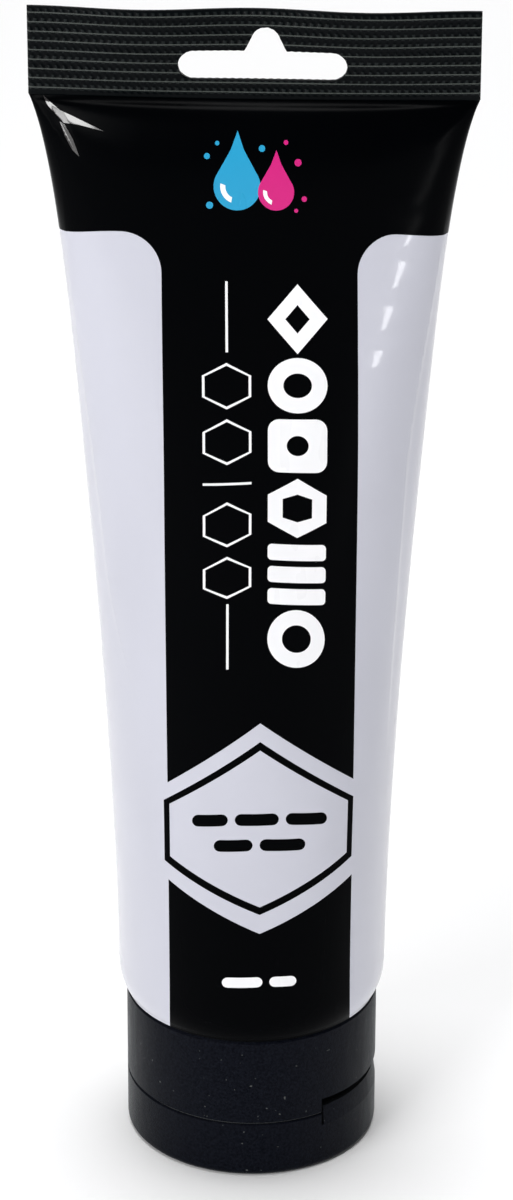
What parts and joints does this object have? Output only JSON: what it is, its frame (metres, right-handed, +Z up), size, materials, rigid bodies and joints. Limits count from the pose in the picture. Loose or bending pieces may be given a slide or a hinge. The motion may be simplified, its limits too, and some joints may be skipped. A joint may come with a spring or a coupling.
{
  "type": "paint tube",
  "caption": "Squeeze tube of acrylic paint with a crimped tail seal, a hang slot, and a screw-on flip-top cap that it stands on.",
  "frame": {"origin": "centre of the closed lid's flat outer face, which the tube stands on", "axes": "+Z up the tube to the tail seal, +X along the flat tail seal to the viewer's right, -Y out of the printed front"},
  "size_m": [0.0629, 0.04, 0.177],
  "materials": {
    "printed_film": "gloss print film, black with pale side panels",
    "black_polyethylene": "satin moulding",
    "black_polypropylene": "satin moulding with a fine grain",
    "acrylic_paint": "wet white paste, stands in for paint",
    "foil_laminate": "bright foil",
    "clear_film": "clear polyester film"
  },
  "bodies": {
    "tube": {"tube_sleeve": "printed_film", "tail_seal": "printed_film", "tube_head": "black_polyethylene", "paint_fill": "acrylic_paint"},
    "foil": {"foil_seal": "foil_laminate", "foil_pull_tab": "clear_film"},
    "cap": {"cap_base": "black_polypropylene", "hinge_strap_left": "black_polypropylene", "hinge_strap_right": "black_polypropylene", "hinge_snap_spring": "black_polypropylene"},
    "lid": {"cap_lid": "black_polypropylene"}
  },
  "joints": [
    {"name": "cap_lift", "type": "slide", "parent": "tube", "child": "foil", "axis": [0, 0, -1], "range_m": [0, 0.0128]},
    {"name": "cap_turn", "type": "hinge", "parent": "foil", "child": "cap", "pos_m": [0, 0, 0.0231], "axis": [0, 0, -1], "range_deg": [0, 1440]},
    {"name": "lid_flip", "type": "hinge", "parent": "cap", "child": "lid", "pos_m": [-0.01644, 0.00732, 0.009], "axis": [0.4067, 0.9135, 0], "range_deg": [0, 150], "deforming": ["hinge_strap_left", "hinge_strap_right", "hinge_snap_spring"]}
  ],
  "couplings": [
    {"joint": "cap_lift", "follows": "cap_turn", "m_per_rad": 0.0005093}
  ]
}
